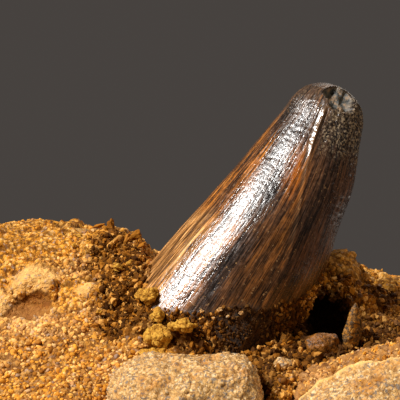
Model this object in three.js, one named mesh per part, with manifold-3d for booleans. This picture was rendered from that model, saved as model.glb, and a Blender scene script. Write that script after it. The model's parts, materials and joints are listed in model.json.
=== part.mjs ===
// A fossil mosasaur tooth standing in its lump of sandy matrix.
//
// The tooth is a stout, slightly recurved cone, worn blunt and chipped at the tip, with a fine cutting edge
// (carina) down its front and its back. Its root is sunk in a socket of the matrix. The matrix is a lump of
// ochre sandstone, broken out of its bed along a few faces and cut flat underneath. It has a broad mound on
// the left, a small one behind the tooth on the right and a dark hollow beside the tooth. Cobbles, nodules,
// a flake of bone and a pebble are bedded in it.
//
// Millimetres, +Z up. The origin lies on the flat cut, under the middle of the lump. +X is the lump's length
// and +Y its depth, away from the side on which the cobbles show.

import * as THREE from "three";
import { ImprovedNoise } from "three/addons/math/ImprovedNoise.js";
import { mergeVertices } from "three/addons/utils/BufferGeometryUtils.js";
import Module from "manifold-3d";

const wasm = await Module();
wasm.setup();

// ---- driving dimensions ----

const SEAT_GAP = 0.3; // between a bedded piece and the matrix round it

const LUMP = {
  halfLength: 43,
  halfDepth: 29,
  squareness: 2.7, // exponent of the outline: 2 is an ellipse
  middle: new THREE.Vector2(5, -2), // where the rings of the surface start, inside the tooth's socket
  spokes: 64,
  rings: 18,
  wallRows: 6,
  shoulderStart: 0.88, // where the surface starts to roll over, as a share of the way to the rim
  shoulderEnd: 0.97,
  shoulderDrop: 2.4,
  wallSwell: 0.03, // how far the wall bulges, as a share of the distance from the origin
  footDraw: -0.01, // how far its foot is drawn in
};

// The ground is a broad dome, on which the named forms stand or sink. A flat form is level on top.
const DOME = { height: 26.5, crestY: 8, fallDeep: 0.0075, fallAcross: 0.002 };
const FORMS = {
  leftMound: { x: -24, y: 11, across: 19, deep: 16, height: 8.3 },
  paleLobe: { x: -20, y: -0.5, across: 3.5, deep: 2.5, height: 1 },
  scoop: { x: -23, y: -5.8, across: 4.5, deep: 2, height: -1.6 },
  moundBrow: { x: -9.6, y: 9.5, across: 4.6, deep: 6, height: 1.4, flat: true },
  toothCollar: { x: -6.3, y: -3, across: 5, deep: 8.5, height: 5 },
  crumbBank: { x: -3, y: -11.5, across: 4.5, deep: 3, height: 2.8 },
  frontTrough: { x: 6, y: -12.8, across: 4.5, deep: 2.5, height: -1.2 },
  rightMound: { x: 18.5, y: 5.5, across: 5.5, deep: 7, height: 5 },
  rightFall: { x: 27, y: 6, across: 8, deep: 10, height: -1.6 },
  backHollow: { x: 6, y: 20, across: 9, deep: 7, height: -2.5 },
  backLobe: { x: 24, y: 19, across: 8, deep: 5, height: 2, flat: true },
};

// Layers of roughness: how high and how broad the lumps of each are. The layer number keeps them apart.
const GROUND_ROUGHNESS = [
  { height: 1.3, span: 7, layer: 0 },
  { height: 0.7, span: 3.2, layer: 20 },
];
// On the rim and the wall the heights are shares of the distance from the origin.
const RIM_ROUGHNESS = [
  { height: 0.11, span: 16, layer: 40 },
  { height: 0.04, span: 6, layer: 60 },
];
const WALL_ROUGHNESS = [
  { height: 0.05, span: 9, layer: 0 },
  { height: 0.02, span: 5, layer: 0 },
];

// The slab along the left of the front: its upper edge is a ledge that runs across the mound's foot.
const SLAB = {
  ledge: { x: -23, y: -8.6 }, // a point on the ledge
  slant: 0.26, // how far the ledge runs back for each millimetre to the right
  rise: 1.5,
  rounding: 0.7, // the ledge's width from foot to brow
  rightEnd: -13,
  fade: 2.5, // how softly it ends on the right
};

// The faces along which the lump was broken out of its bed: a point on each, and the way it faces.
const BREAKS = [
  { at: [-38, 3, 18], facing: [-0.9, 0.05, 0.42] },
  { at: [-27, 24, 20], facing: [-0.42, 0.8, 0.4] },
  { at: [6, 27.5, 14], facing: [0.08, 0.99, 0.1] },
  { at: [31, 21, 19], facing: [0.55, 0.7, 0.45] },
  { at: [39, -3, 17], facing: [0.88, -0.12, 0.45] },
  { at: [36, -20, 9], facing: [0.66, -0.72, -0.2] },
  { at: [-29, -24, 9], facing: [-0.5, -0.85, -0.12] },
  { at: [0, -28.2, 6], facing: [0.06, -0.97, -0.22] },
];

// Hollows cut into the ground: the centre and the half sizes of each.
const HOLLOWS = {
  darkHollow: { at: [15.6, -3, 24], half: [2.9, 7.2, 3.8] },
  cleft: { at: [24.8, -2.4, 25.8], half: [1.5, 3, 2] },
};

const TOOTH = {
  foot: new THREE.Vector3(4.6, -2.1, 29.2), // where its axis comes out of the ground
  leanBack: THREE.MathUtils.degToRad(12),
  // The axis in the tooth's own upright plane, from the buried root to the tip.
  axis: [
    [-7.6, -11.5],
    [-3.6, -5.5],
    [0, 0],
    [3.5, 5.3],
    [7.3, 12],
    [10.3, 18.6],
    [12.4, 24.3],
  ],
  widthAtTip: 2.72, // half width 1 mm below the tip
  widening: 0.385, // the half width grows with this power of the distance from the tip
  depthShare: 0.9, // the section is a little narrower from front to back
  edgeRise: 0.045, // how far a cutting edge stands out, as a share of the radius
  edgeSpread: THREE.MathUtils.degToRad(11),
  // The front edge starts a little left of the middle at the tip, and winds to the right on its way down.
  edgeStart: THREE.MathUtils.degToRad(-98),
  edgeWinds: THREE.MathUtils.degToRad(26),
  edgeLength: 25,
  firstRing: 0.12, // the distance of the first ring from the tip
  rootCap: 1.5, // how far the root's end bulges past the last ring
  spokes: 32,
  rings: 17,
};

const CHIP = { at: [13.4, -2.9, 22.6], half: [1.9, 1.4, 1.9] };

// ---- solids ----

const noise = new ImprovedNoise();

// Smooth noise from -1 to 1, whose lumps are about `size` across.
function rough(x, y, z, size) {
  return noise.noise(x / size + 7.3, y / size + 2.9, z / size + 5.1);
}

function layered(layers, x, y, z = 0) {
  return layers.reduce((sum, { height, span, layer }) => sum + height * rough(x, y, z + layer, span), 0);
}

function solidOf(geometry) {
  const bare = geometry.clone();
  bare.deleteAttribute("normal");
  bare.deleteAttribute("uv");
  const merged = mergeVertices(bare, 1e-4);
  return new wasm.Manifold(
    new wasm.Mesh({
      numProp: 3,
      vertProperties: new Float32Array(merged.attributes.position.array),
      triVerts: new Uint32Array(merged.index.array),
    }),
  );
}

function geometryOf(solid) {
  const mesh = solid.getMesh();
  const geometry = new THREE.BufferGeometry();
  geometry.setAttribute("position", new THREE.BufferAttribute(mesh.vertProperties, 3));
  geometry.setIndex(new THREE.BufferAttribute(mesh.triVerts, 1));
  const faceted = geometry.toNonIndexed();
  faceted.computeVertexNormals();
  return faceted;
}

// A closed skin over rings of points that share one count, from a first pole to a last one.
function closedSkin(firstPole, rings, lastPole) {
  const points = [firstPole, ...rings.flat(), lastPole];
  const count = rings[0].length;
  const last = points.length - 1;
  const at = (ring, i) => 1 + ring * count + (i % count);
  const faces = [];
  for (let i = 0; i < count; i++) {
    faces.push(0, at(0, i), at(0, i + 1));
    for (let ring = 0; ring < rings.length - 1; ring++) {
      const [a, b] = [at(ring, i), at(ring, i + 1)];
      const [c, d] = [at(ring + 1, i + 1), at(ring + 1, i)];
      faces.push(a, d, c, a, c, b);
    }
    faces.push(last, at(rings.length - 1, i + 1), at(rings.length - 1, i));
  }
  const geometry = new THREE.BufferGeometry().setFromPoints(points);
  geometry.setIndex(faces);
  return geometry;
}

// ---- the matrix ----

function groundHeight(x, y) {
  let z = DOME.height - DOME.fallDeep * (y - DOME.crestY) ** 2 - DOME.fallAcross * x ** 2;
  for (const form of Object.values(FORMS)) {
    const away = ((x - form.x) / form.across) ** 2 + ((y - form.y) / form.deep) ** 2;
    z += form.height * Math.exp(-(form.flat ? away ** 2 : away));
  }
  return z + slabRise(x, y) + layered(GROUND_ROUGHNESS, x, y);
}

function smoothStep(distance) {
  return 1 / (1 + Math.exp(-4 * distance)); // nearly all of the step lies between -1 and 1
}

function slabRise(x, y) {
  const ledgeY = SLAB.ledge.y + SLAB.slant * (x - SLAB.ledge.x);
  const inFront = smoothStep((ledgeY - y) / SLAB.rounding);
  return SLAB.rise * inFront * smoothStep((SLAB.rightEnd - x) / SLAB.fade);
}

// The outline's distance from the origin at an angle.
function outlineReach(angle) {
  const power = LUMP.squareness;
  const across = Math.abs(Math.cos(angle) / LUMP.halfLength) ** power;
  const deep = Math.abs(Math.sin(angle) / LUMP.halfDepth) ** power;
  return (across + deep) ** (-1 / power);
}

function matrixLump() {
  const spokeAngles = Array.from({ length: LUMP.spokes }, (_, i) => (2 * Math.PI * i) / LUMP.spokes);
  const rim = spokeAngles.map((angle) => {
    const reach = outlineReach(angle);
    const edge = new THREE.Vector2(Math.cos(angle), Math.sin(angle)).multiplyScalar(reach);
    return edge.multiplyScalar(1 + layered(RIM_ROUGHNESS, edge.x, edge.y));
  });
  const rings = [];
  for (let ring = 1; ring <= LUMP.rings; ring++) {
    const out = LUMP.shoulderEnd * (ring / LUMP.rings);
    const rolled = Math.max(0, (out - LUMP.shoulderStart) / (LUMP.shoulderEnd - LUMP.shoulderStart));
    const drop = LUMP.shoulderDrop * rolled ** 2;
    rings.push(
      rim.map((edge) => {
        const p = LUMP.middle.clone().lerp(edge, out);
        return new THREE.Vector3(p.x, p.y, groundHeight(p.x, p.y) - drop);
      }),
    );
  }
  const shoulder = rings.at(-1);
  for (let row = 1; row <= LUMP.wallRows; row++) {
    const down = row / LUMP.wallRows;
    rings.push(
      rim.map((edge, i) => {
        const z = shoulder[i].z * (1 - down);
        const broken = row < LUMP.wallRows ? layered(WALL_ROUGHNESS, edge.x, edge.y, z) : LUMP.footDraw;
        const swell = 1 + LUMP.wallSwell * Math.sin(Math.PI * down) + broken;
        return new THREE.Vector3(edge.x * swell, edge.y * swell, z);
      }),
    );
  }
  const top = LUMP.middle;
  return closedSkin(
    new THREE.Vector3(top.x, top.y, groundHeight(top.x, top.y)),
    rings,
    new THREE.Vector3(0, 0, 0),
  );
}

// A box that holds all of the lump that lies beyond a break.
function beyond({ at, facing }) {
  const size = 2 * LUMP.halfLength;
  const outwards = new THREE.Vector3(...facing).normalize();
  const turn = new THREE.Quaternion().setFromUnitVectors(new THREE.Vector3(0, 0, 1), outwards);
  const box = new THREE.BoxGeometry(size, size, size).translate(0, 0, size / 2);
  return box.applyQuaternion(turn).translate(...at);
}

// ---- the tooth ----

// The tooth's skin, grown outwards by `grow` for its socket.
function toothSkin(grow) {
  const axis = new THREE.CatmullRomCurve3(TOOTH.axis.map(([x, z]) => new THREE.Vector3(x, 0, z)));
  const length = axis.getLength();
  const deepWay = new THREE.Vector3(0, 1, 0);
  const rings = [];
  for (let ring = 0; ring < TOOTH.rings; ring++) {
    // Rings crowd towards the tip, where the half width changes fastest.
    const share = (ring / (TOOTH.rings - 1)) ** 1.5;
    const fromTip = THREE.MathUtils.lerp(TOOTH.firstRing, length, share);
    const along = Math.max(1 - fromTip / length, 0);
    const centre = axis.getPointAt(along);
    const forward = axis.getTangentAt(along);
    const wideWay = new THREE.Vector3().crossVectors(deepWay, forward);
    const halfWidth = TOOTH.widthAtTip * fromTip ** TOOTH.widening + grow;
    const wound = TOOTH.edgeWinds * Math.min(1, fromTip / TOOTH.edgeLength);
    const frontEdge = TOOTH.edgeStart + wound;
    rings.push(
      Array.from({ length: TOOTH.spokes }, (_, i) => {
        const fromEdge = (2 * Math.PI * i) / TOOTH.spokes;
        const nearEdge = Math.min(fromEdge, Math.abs(fromEdge - Math.PI), 2 * Math.PI - fromEdge);
        const rise = 1 + TOOTH.edgeRise * Math.exp(-nearEdge / TOOTH.edgeSpread);
        const angle = frontEdge + fromEdge;
        return centre
          .clone()
          .addScaledVector(wideWay, halfWidth * rise * Math.cos(angle))
          .addScaledVector(deepWay, halfWidth * rise * TOOTH.depthShare * Math.sin(angle));
      }),
    );
  }
  const tip = axis.getPointAt(1).addScaledVector(axis.getTangentAt(1), grow);
  const rootEnd = axis.getPointAt(0).addScaledVector(axis.getTangentAt(0), -TOOTH.rootCap - grow);
  return closedSkin(tip, rings, rootEnd);
}

function ellipsoid({ at, half }, detail = 3) {
  const geometry = new THREE.IcosahedronGeometry(1, detail);
  return geometry.scale(...half).translate(...at);
}

function standTooth(geometry) {
  return geometry.rotateX(-TOOTH.leanBack).translate(TOOTH.foot.x, TOOTH.foot.y, TOOTH.foot.z);
}

// ---- cobbles, nodules and the pebble ----

const LUMP_SPAN = 0.6; // a lump's breadth, as a share of the stone's half size

// A worn stone: a rounded block whose faces are flatter the higher `squareness` is.
function stone({ at, half, turn = [0, 0, 0], squareness = 2, detail = 2, lumps = 0.15 }, grow = 0) {
  const geometry = new THREE.IcosahedronGeometry(1, detail);
  const place = geometry.attributes.position;
  const p = new THREE.Vector3();
  for (let i = 0; i < place.count; i++) {
    p.fromBufferAttribute(place, i);
    const { x, y, z } = p;
    const power = Math.abs(x) ** squareness + Math.abs(y) ** squareness + Math.abs(z) ** squareness;
    const lumpy = 1 + lumps * rough(x + at[0], y + at[1], z + at[2], LUMP_SPAN);
    p.multiplyScalar(lumpy * power ** (-1 / squareness));
    place.setXYZ(i, p.x * (half[0] + grow), p.y * (half[1] + grow), p.z * (half[2] + grow));
  }
  const turned = new THREE.Euler(...turn.map((degrees) => THREE.MathUtils.degToRad(degrees)));
  return geometry.applyMatrix4(new THREE.Matrix4().makeRotationFromEuler(turned)).translate(...at);
}

const CREAM = 0xdfb574;
const OCHRE = 0xc98a2c;
const STONES = {
  front_stone: {
    at: [-1.4, -20.5, 14.6],
    half: [9.1, 6.5, 9.6],
    squareness: 4,
    lumps: 0.1,
    detail: 4,
    colour: CREAM,
  },
  right_stone: {
    at: [21.2, -19.8, 16.2],
    half: [13.2, 7.5, 9],
    turn: [0, -17, 0],
    squareness: 3,
    lumps: 0.12,
    detail: 4,
    colour: CREAM,
  },
  hollow_pebble: { at: [14.8, -9.9, 22.9], half: [2.2, 1.7, 1.8], lumps: 0.25, colour: 0x9a5f22 },
  bone_shard: { at: [18.9, -9.6, 24.4], half: [1.15, 0.7, 2.7], turn: [0, 8, 10], colour: 0x9c7140 },
  ochre_nodule_upper: { at: [-6.2, -9.2, 29.2], half: [1.4, 1.2, 1], lumps: 0.35, colour: OCHRE },
  ochre_nodule_small: { at: [-5, -11.4, 27.4], half: [0.9, 0.8, 1], lumps: 0.35, colour: OCHRE },
  ochre_nodule_middle: { at: [-5, -13.2, 25.2], half: [1.8, 1.5, 1.5], lumps: 0.35, colour: OCHRE },
  ochre_nodule_lower: { at: [-5.7, -14.6, 23.5], half: [1.8, 1.2, 0.8], lumps: 0.35, colour: OCHRE },
  ochre_nodule_front: { at: [-2.2, -13.3, 26.7], half: [1.7, 1.1, 0.9], lumps: 0.35, colour: OCHRE },
  pale_chip: {
    at: [10, -14.6, 22.1],
    half: [1.3, 0.9, 0.8],
    turn: [0, 20, 15],
    squareness: 4,
    colour: CREAM,
  },
};

// ---- the assembly ----

const socket = solidOf(standTooth(toothSkin(SEAT_GAP)));
let matrix = solidOf(matrixLump()).subtract(socket);
for (const broken of BREAKS) {
  matrix = matrix.subtract(solidOf(beyond(broken)));
}
for (const hollow of Object.values(HOLLOWS)) {
  matrix = matrix.subtract(solidOf(ellipsoid(hollow)));
}
for (const form of Object.values(STONES)) {
  matrix = matrix.subtract(solidOf(stone(form, SEAT_GAP)));
}
const largestFirst = matrix.decompose().sort((a, b) => b.volume() - a.volume());

function mesh(name, geometry, look) {
  const made = new THREE.Mesh(geometry, new THREE.MeshStandardMaterial(look));
  made.name = name;
  return made;
}

const specimen = new THREE.Group();
const sandstone = { color: 0xc98435, roughness: 0.95, metalness: 0 };
specimen.add(mesh("matrix_block", geometryOf(largestFirst[0]), sandstone));

const crown = solidOf(toothSkin(0)).subtract(solidOf(ellipsoid(CHIP, 2)));
const enamel = { color: 0x4a3020, roughness: 0.3, metalness: 0 };
const tooth = mesh("tooth_crown", geometryOf(crown), enamel);
tooth.position.copy(TOOTH.foot);
tooth.rotation.x = -TOOTH.leanBack;
specimen.add(tooth);

// Each stone is fitted to the tooth and to the stones bedded before it.
const bedded = [socket];
for (const [name, form] of Object.entries(STONES)) {
  const fitted = bedded.reduce((left, neighbour) => left.subtract(neighbour), solidOf(stone(form)));
  bedded.push(solidOf(stone(form, SEAT_GAP)));
  specimen.add(mesh(name, geometryOf(fitted), { color: form.colour, roughness: 0.9, metalness: 0 }));
}

export default specimen;
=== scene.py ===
# A fossil mosasaur tooth standing in a lump of ochre sandstone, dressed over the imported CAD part.
# The pieces follow in the order in which the specimen is put together: the sandstone lump, the tooth in its
# socket, the two cobbles, the small stones, the loose grains and crumbs, then the stand, light and view.
# Everything is in metres in the part's own frame, and sizes are given in millimetres times MM.

import contextlib
import json
import math

import bpy
import numpy as np
from mathutils import Euler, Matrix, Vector, noise
from mathutils.bvhtree import BVHTree

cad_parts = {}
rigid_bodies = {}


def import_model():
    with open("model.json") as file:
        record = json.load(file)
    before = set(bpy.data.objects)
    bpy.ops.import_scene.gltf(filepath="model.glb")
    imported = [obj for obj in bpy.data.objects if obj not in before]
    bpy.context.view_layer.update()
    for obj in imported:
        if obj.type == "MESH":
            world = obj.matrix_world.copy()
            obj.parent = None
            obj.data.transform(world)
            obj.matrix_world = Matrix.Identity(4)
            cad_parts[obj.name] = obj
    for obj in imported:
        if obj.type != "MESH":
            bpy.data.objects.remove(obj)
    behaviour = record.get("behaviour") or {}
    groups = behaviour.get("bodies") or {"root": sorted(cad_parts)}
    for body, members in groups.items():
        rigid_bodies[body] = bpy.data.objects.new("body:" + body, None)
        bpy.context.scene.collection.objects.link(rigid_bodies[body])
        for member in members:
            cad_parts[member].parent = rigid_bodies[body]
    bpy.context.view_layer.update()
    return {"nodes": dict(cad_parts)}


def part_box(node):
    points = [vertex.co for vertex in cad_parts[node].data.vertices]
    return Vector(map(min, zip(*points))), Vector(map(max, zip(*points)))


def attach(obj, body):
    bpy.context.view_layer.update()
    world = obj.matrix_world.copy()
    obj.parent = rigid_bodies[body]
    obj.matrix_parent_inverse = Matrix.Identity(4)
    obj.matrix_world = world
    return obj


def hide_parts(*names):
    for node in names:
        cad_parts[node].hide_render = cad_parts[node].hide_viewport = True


MM = 0.001
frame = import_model()

# ---- The sandstone lump ----
# One block of weathered ochre sand, broken out of its bed and sawn flat underneath. Its skin is sand cemented
# into clots and thin ledges, with a slope of darker gravel beside the tooth and a deep hollow on its right.

ROCK_VOXEL = 0.5 * MM
ROCK_SEAT = 1.3  # within this many millimetres the sand is drawn against a bedded piece
SEAT_OVERLAP = 1.15  # how far it is drawn, as a share of the way, so that no gap shows
SEAT_KEPT = 0.6  # sand this near to a piece is held there
SAWN_BASE = 0.35  # all that lies lower is part of the flat cut
LEDGE = [(-26.5, -7.8), (-24.4, -7.6), (-20.8, -7.3), (-17.4, -7.5)]  # the thin ledge's line across the front
HOLLOW_MIDDLE, HOLLOW_HALF = np.array([15.6, -3.4, 23.7]), np.array([3.2, 7.7, 3.6])
HOLLOW_REACH = 1.15  # sand up to this share of the hollow's half size is pushed out to its wall
ROCK_CREASE = math.radians(70)  # the skin is sharp where its faces meet at more than this


def deselect():
    bpy.ops.object.select_all(action="DESELECT")


def select_only(piece):
    deselect()
    piece.select_set(True)
    bpy.context.view_layer.objects.active = piece


@contextlib.contextmanager
def editing(piece):
    """The piece alone in edit mode, for as long as the with block lasts."""
    select_only(piece)
    bpy.ops.object.mode_set(mode="EDIT")
    yield
    bpy.ops.object.mode_set(mode="OBJECT")


def copy_of_node(node_name, piece_name):
    """A piece of its own with the shape of a CAD node, its loose triangles merged."""
    piece = bpy.data.objects.new(piece_name, frame["nodes"][node_name].data.copy())
    bpy.context.scene.collection.objects.link(piece)
    piece.data.materials.clear()
    with editing(piece):
        bpy.ops.mesh.select_all(action="SELECT")
        bpy.ops.mesh.remove_doubles(threshold=0.01 * MM)
    return piece


def apply_modifier(piece, kind, **settings):
    modifier = piece.modifiers.new(kind.lower(), kind)
    for name, value in settings.items():
        setattr(modifier, name, value)
    select_only(piece)
    bpy.ops.object.modifier_apply(modifier=modifier.name)


def points_of(piece):
    """The piece's vertices as an array of x, y, z in millimetres."""
    points = np.empty(len(piece.data.vertices) * 3)
    piece.data.vertices.foreach_get("co", points)
    return points.reshape(-1, 3) / MM


def place_points(piece, points):
    piece.data.vertices.foreach_set("co", (points * MM).astype(np.float32).ravel())
    piece.data.update()


def store(piece, **shares):
    """Keeps one number for each vertex under each name."""
    for name, values in shares.items():
        attribute = piece.data.attributes.new(name, "FLOAT", "POINT")
        attribute.data.foreach_set("value", np.asarray(values, np.float32))


def store_places(piece, name, places):
    attribute = piece.data.attributes.new(name, "FLOAT_VECTOR", "POINT")
    attribute.data.foreach_set("vector", places.astype(np.float32).ravel())


def stored(piece, name):
    values = np.empty(len(piece.data.vertices))
    piece.data.attributes[name].data.foreach_get("value", values)
    return values


def ease(values, low, high):
    """0 up to low, 1 from high on, and a smooth rise between them."""
    share = np.clip((values - low) / (high - low), 0, 1)
    return share * share * (3 - 2 * share)


def bell(values, middle, spread):
    """1 at the middle, fading to 0 on both sides."""
    return np.exp(-(((values - middle) / spread) ** 2))


def ragged_at(points, *waves):
    """A smooth noise at each point: a sum of waves, each a frequency per millimetre and a height."""
    return np.array([sum(height * noise.noise(Vector(point) * per_mm) for per_mm, height in waves)
                     for point in points])


def spots(points, *ovals):
    """The sum of soft ovals on the ground, each a height, a middle x and y, and a half width and depth."""
    x, y = points[:, 0], points[:, 1]
    return sum(height * np.exp(-(((x - at_x) / across) ** 2) - ((y - at_y) / deep) ** 2)
               for height, at_x, at_y, across, deep in ovals)


def press(points, at, half, move):
    """Moves what lies in a soft-edged ellipsoid by a vector."""
    away = ((points - np.array(at)) / np.array(half)) ** 2
    points += np.exp(-away.sum(1))[:, None] * np.array(move)


def depth_in_ball(p, d):
    """How many steps of d take each point p to the far wall of the unit ball. It is 0 outside the ball."""
    a, b, c = (d * d).sum(-1), 2 * (p * d).sum(1), (p * p).sum(1) - 1
    return np.where(c < 0, (-b + np.sqrt(np.maximum(b * b - 4 * a * c, 0))) / (2 * a), 0)


def scoop_out(points, at, half, way):
    """Cuts an ellipsoid away: what lies in it is pushed along a direction to its far wall."""
    way = np.array(way) / np.linalg.norm(way)
    depth = depth_in_ball((points - np.array(at)) / np.array(half), way / np.array(half))
    points += depth[:, None] * way


def ledge_at(points):
    """How far each point lies behind the thin ledge's line, and 1 where the ledge runs."""
    x, y, z = points.T
    return y - np.interp(x, *zip(*LEDGE)), ease(x, -27, -25) * ease(-x, 16.5, 18) * (z > 20)


def surface_of(piece):
    return BVHTree.FromObject(piece, bpy.context.evaluated_depsgraph_get())


def near_box(points, node_name, margin):
    """The numbers of the points in or near a node's box."""
    low, high = (np.array(corner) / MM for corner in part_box(node_name))
    return np.nonzero(((points > low - margin) & (points < high + margin)).all(1))[0]


rock = copy_of_node("matrix_block", "sandstone_lump")
apply_modifier(rock, "REMESH", mode="VOXEL", voxel_size=ROCK_VOXEL)
apply_modifier(rock, "SMOOTH", factor=0.5, iterations=2)

# The sand meets the tooth and the stones without a gap.
points = points_of(rock)
seated = np.zeros(len(points), bool)
for name in frame["nodes"]:
    if name == "matrix_block":
        continue
    seat = surface_of(frame["nodes"][name])
    for i in near_box(points, name, ROCK_SEAT):
        on_seat, _, _, away = seat.find_nearest(Vector(points[i]) * MM, ROCK_SEAT * MM)
        if on_seat is not None:
            away /= MM
            pull = min(1.0, 2.0 - 2.0 * away / ROCK_SEAT)
            points[i] += (np.array(on_seat) / MM - points[i]) * pull * SEAT_OVERLAP
            seated[i] = away < SEAT_KEPT

# The larger shapes of its skin: two smooth lobes over a shell-shaped scoop and a pit, the sand drawn back
# from the tooth's left foot, a round knob, a sunken back, and a cleft on the right.
for change, at, half, way in (
    (press, (-20.8, -2.4, 29.0), (2.6, 1.3, 1.2), (0, -0.8, 0.5)),
    (press, (-14.2, -4.2, 28.6), (1.7, 1.3, 1.2), (0, -0.4, 0.7)),
    (scoop_out, (-21.4, -5.9, 27.2), (3.4, 2.7, 2.0), (0, 0.85, -0.35)),
    (scoop_out, (-17.7, -4.1, 28.5), (0.75, 1.5, 1.4), (0.1, 0.9, -0.4)),
    (scoop_out, (-16.2, -5.2, 28.5), (0.9, 1.1, 0.9), (0, 0.6, -0.8)),
    (press, (-9.4, 8, 33.4), (2.6, 4, 3), (0, 0, -1.1)),
    (press, (-6.4, 3.5, 32.6), (2.0, 4.5, 3.0), (0, 0, -2.1)),
    (press, (-6.4, -2.5, 31.8), (1.5, 3.5, 1.6), (-0.6, 0, -0.8)),
    (press, (19.2, 6.0, 29.5), (2.2, 2.6, 2.4), (0, 0, 1.2)),
    (press, (26.5, 14, 26), (6, 7, 4), (0, 0, -1.7)),
    (press, (-6.0, 10.5, 31.2), (1.3, 4.5, 3.0), (0, 0, -3.2)),
    (press, (15.5, -4.0, 27.6), (2.4, 3.5, 1.2), (0, -0.6, -0.9)),
    (press, (15.8, -1.5, 28.2), (2.6, 3.0, 1.4), (0, -2.0, -0.9)),
    (scoop_out, (23.4, -1.6, 25.7), (1.9, 2.6, 1.8), (0.1, 0.8, -0.6)),
    (scoop_out, (25.6, -2.2, 24.9), (1.4, 2.0, 1.5), (0.1, 0.8, -0.6)),
):
    change(points, at, half, way)
from_ledge, on_ledge = ledge_at(points)
points[:, 2] += 0.7 * on_ledge * bell(from_ledge, 0.1, 0.4)
points[:, 2] -= 0.8 * on_ledge * bell(from_ledge, 1.0, 0.5)
from_middle = (points - HOLLOW_MIDDLE) / HOLLOW_HALF
reach = np.linalg.norm(from_middle, axis=1)
widened = (reach < HOLLOW_REACH) & ~seated
points[widened] += (from_middle * HOLLOW_HALF * (1.0 / np.maximum(reach, 0.3) - 1)[:, None]
                    * ease(HOLLOW_REACH - reach, 0, 0.3)[:, None])[widened]
points[points[:, 2] < SAWN_BASE, 2] = 0.0
place_points(rock, points)

# The sawn face is one flat face. The skin is finer where it is seen close to: round the tooth and in front.
with editing(rock):
    bpy.ops.mesh.select_mode(type="FACE")
    bpy.ops.mesh.select_all(action="DESELECT")
for face in rock.data.polygons:
    face.select = face.center.z <= 0.02 * MM
with editing(rock):
    bpy.ops.mesh.dissolve_limited(angle_limit=math.radians(2))
    bpy.ops.mesh.select_all(action="DESELECT")
kept_seats = {tuple(point) for point in np.round(points[seated], 3)}
for face in rock.data.polygons:
    x, y, z = face.center / MM
    corner = tuple(np.round(rock.data.vertices[face.vertices[0]].co / MM, 3))
    in_front = -27 < x < 28 and z > 18 and y < 12
    face.select = in_front and len(face.vertices) < 5 and corner not in kept_seats
with editing(rock):
    bpy.ops.mesh.subdivide(number_cuts=1)

# Where the skin is gravel, bleached, scooped, painted dark as shade or smooth, as shares from 0 to 1.
points = points_of(rock)
x, y, z = points.T
above_base = np.clip(z / 2, 0, 1)
gravel = spots(points, (1.3, -10.5, 3, 5, 7.5), (1.1, -8.5, -6, 4.2, 4.5), (1.2, 1, -12.5, 8, 3.2),
               (1.1, 13, -9, 4, 5), (1.3, 23, 5, 9, 11), (0.8, 12, -13, 6, 2.5), (0.9, 8.5, -17.5, 2, 4),
               (1.2, 22, -7, 5, 5), (1.1, -9.8, -10.5, 3, 2.6), (0.75, -17, 13.5, 6, 3.5))
ragged = ragged_at(points, (0.55, 1), (1.4, 0.5))
knob = ease(spots(points, (1, 18.4, 4.8, 3.3, 3.4)), 0.3, 0.7)
gravel = ease(gravel + 0.3 * ragged, 0.4, 1.0) * (1 - 0.9 * knob)
mound = spots(points, (1, -22, 8, 9, 8))
slab = ease(-y, 7.2, 8.4) * ease(-x, 5, 8) * ease(z, 17, 20)
pale = spots(points, (1.5, -20.6, -2.0, 2.7, 1.5), (1.1, -14, -4.5, 1.7, 1.2), (0.9, -15.5, 12.5, 3.0, 2.2),
             (0.9, -25.2, -4.4, 1.6, 1.6))
pale = ease(pale + 0.4 * ragged * (pale > 0.1), 0.3, 0.8)
scoop_top = np.interp(x, [-24.8, -22.3, -20.2, -18.7, -18.1], [25.6, 27.1, 28.5, 27.9, 26.4])
from_ledge, on_ledge = ledge_at(points)
scoop = (ease(scoop_top - z, -0.1, 0.3) * ease(from_ledge, 0.2, 0.7) * ease(x, -25, -24) * ease(-x, 18, 18.6)
         * ease(-y, 1, 2))
ledge = on_ledge * bell(from_ledge, 0.1, 0.42)
seen_face = ease(z, 15, 19) * ease(-y, -21, -15)
# Painted shade: the hollow's inside, a line under the lobes' edge, and shaded ground below are painted dark.
hollow = ease(1.35 - np.linalg.norm((points - HOLLOW_MIDDLE) / HOLLOW_HALF, axis=1), 0, 0.3)
under_lobe = scoop * bell(scoop_top - z, 0.1, 0.35)
PAINTED_SHADE_SPOTS = [(0.5, 9, -13.5, 5, 2.2), (0.6, 8.0, -17.8, 1.5, 3.0), (0.75, 21.5, -9.5, 4.0, 3.0),
        (0.85, 22.5, -5.0, 4.5, 2.0), (0.3, 24, 6, 3.5, 4), (0.6, 25.5, 15, 4.5, 3.5)]


def but_for(*shares):
    """The skin above the sawn base, less the largest of the shares."""
    return above_base * (1 - np.maximum.reduce(shares))


# The ledge's crest is painted pale, a painted highlight, and the knob a little paler, painted light.
store(rock, gravel=gravel * above_base * (1 - spots(points, (0.7, 21, -1.5, 5, 3))),
      pale=np.maximum.reduce([pale * (1 - scoop), 0.9 * ledge, 0.3 * knob]),
      scoop=scoop,
      skin=but_for(0.7 * pale, 0.8 * scoop, 0.5 * mound, 0.6 * slab, 0.8 * knob),
      grainy=but_for(0.75 * pale, 0.9 * scoop, 0.5 * mound, 0.9 * knob),
      shaded=np.maximum.reduce([hollow, 0.9 * under_lobe, *(spots(points, oval) for oval in PAINTED_SHADE_SPOTS)]),
      broken_sides=but_for(seen_face))


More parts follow.
